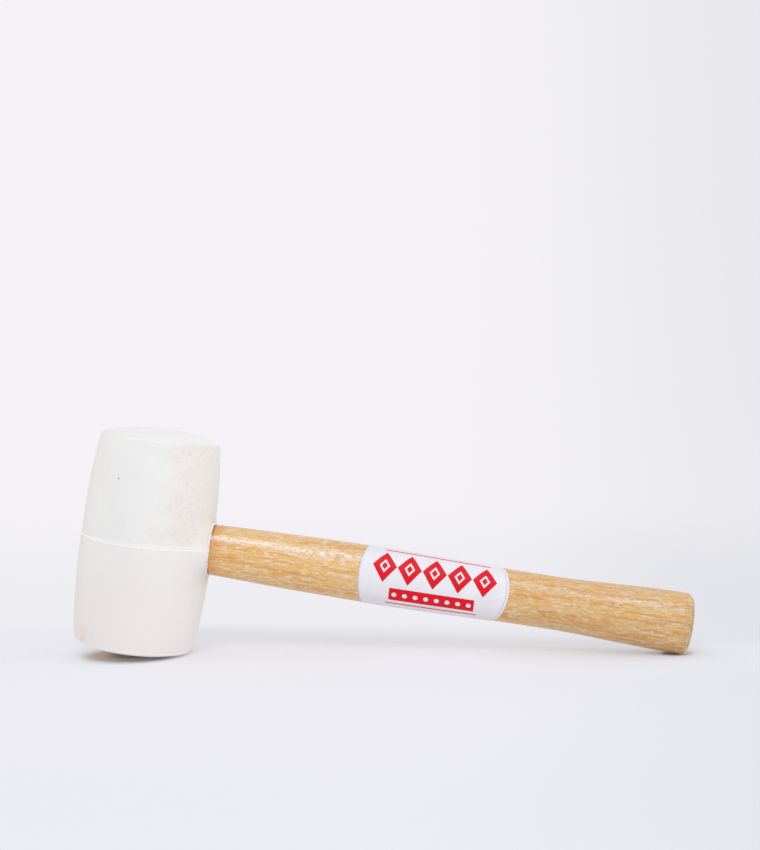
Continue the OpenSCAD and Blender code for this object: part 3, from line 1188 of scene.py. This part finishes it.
WHITE = (1.0, 1.0, 1.0)
COOL = (0.94, 0.98, 1.1)
LAMP_AIM_Z = 0.05
ROOM_LIGHT = 0.78


def soft_box(name, place, size, watts, colour, aim_x=0.0, highlight=False):
    """Soft lamp that either lights the surfaces or only shows in their highlights."""
    lamp = bpy.data.lights.new(name, "AREA")
    lamp.shape = "RECTANGLE"
    lamp.size, lamp.size_y = size
    lamp.energy = watts
    lamp.color = colour
    box = bpy.data.objects.new(name, lamp)
    box.location = place
    aim = Vector((aim_x, 0.0, LAMP_AIM_Z))
    box.rotation_euler = (aim - Vector(place)).to_track_quat("-Z", "Y").to_euler()
    box.visible_glossy = highlight
    box.visible_diffuse = not highlight
    bpy.context.scene.collection.objects.link(box)


def studio_light():
    soft_box("overhead", (-0.16, -0.51, 1.15), (0.54, 0.44), 3.8, COOL, aim_x=-0.16, highlight=True)
    soft_box("overhead_right", (0.36, -0.51, 1.15), (0.5, 0.42), 1.1, COOL, aim_x=0.36, highlight=True)
    soft_box("key", (0.0, -1.05, 1.0), (0.5, 0.4), 5.0, COOL)
    soft_box("left", (-1.3, 0.0, 0.5), (1.0, 1.0), 1.5, WHITE)
    soft_box("right", (1.25, -0.35, 0.22), (1.0, 0.44), 3.2, WHITE)
    soft_box("behind", (0.8, 0.6, 0.15), (0.6, 0.3), 1.5, WHITE)
    room_light()


def room_light():
    """Even white light from all round, which shows as the backdrop's colour past the floor."""
    world = bpy.data.worlds.new("studio")
    world.use_nodes = True
    nodes, links = world.node_tree.nodes, world.node_tree.links
    light = nodes["Background"]
    light.inputs["Color"].default_value = (*WHITE, 1.0)
    light.inputs["Strength"].default_value = ROOM_LIGHT
    shown = nodes.new("ShaderNodeBackground")
    shown.inputs["Color"].default_value = BACKDROP
    both = nodes.new("ShaderNodeMixShader")
    links.new(seen_directly(world.node_tree), both.inputs[0])
    links.new(light.outputs[0], both.inputs[1])
    links.new(shown.outputs[0], both.inputs[2])
    links.new(both.outputs[0], nodes["World Output"].inputs["Surface"])
    bpy.context.scene.world = world


# Camera, at the photograph's viewing angle


CAMERA_AIM = Vector((0.0031, 0.0, 0.122))
CAMERA_DISTANCE = 0.7826
CAMERA_AZIMUTH = math.radians(-6.26)
CAMERA_ELEVATION = math.radians(1.06)
CAMERA_ROLL = math.radians(-1.18)
CAMERA_LENS = 62.37
CAMERA_SENSOR = 36.0


def place_camera():
    data = bpy.data.cameras.new("camera")
    data.lens = CAMERA_LENS
    data.sensor_width = CAMERA_SENSOR
    forward = Vector((
        math.sin(CAMERA_AZIMUTH) * math.cos(CAMERA_ELEVATION),
        math.cos(CAMERA_AZIMUTH) * math.cos(CAMERA_ELEVATION),
        -math.sin(CAMERA_ELEVATION),
    ))
    level = forward.cross(Vector((0, 0, 1))).normalized()
    right = level * math.cos(CAMERA_ROLL) + level.cross(forward) * math.sin(CAMERA_ROLL)
    up = right.cross(forward)
    pose = Matrix((right, up, -forward)).transposed().to_4x4()
    pose.translation = CAMERA_AIM - forward * CAMERA_DISTANCE
    camera = bpy.data.objects.new("camera", data)
    camera.matrix_world = pose
    bpy.context.scene.collection.objects.link(camera)
    bpy.context.scene.camera = camera


place_camera()
build_head(white_rubber())
build_handle(lacquered_wood())
build_wood_wedge(bare_wood())
build_steel_wedge(wedge_steel())
build_label(label_paper())
studio_floor()
studio_light()
bpy.context.scene.view_settings.view_transform = "Standard"

boxes = {"cad": cad_box, "visual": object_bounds()}
{key: [list(corner) for corner in box] for key, box in boxes.items()}
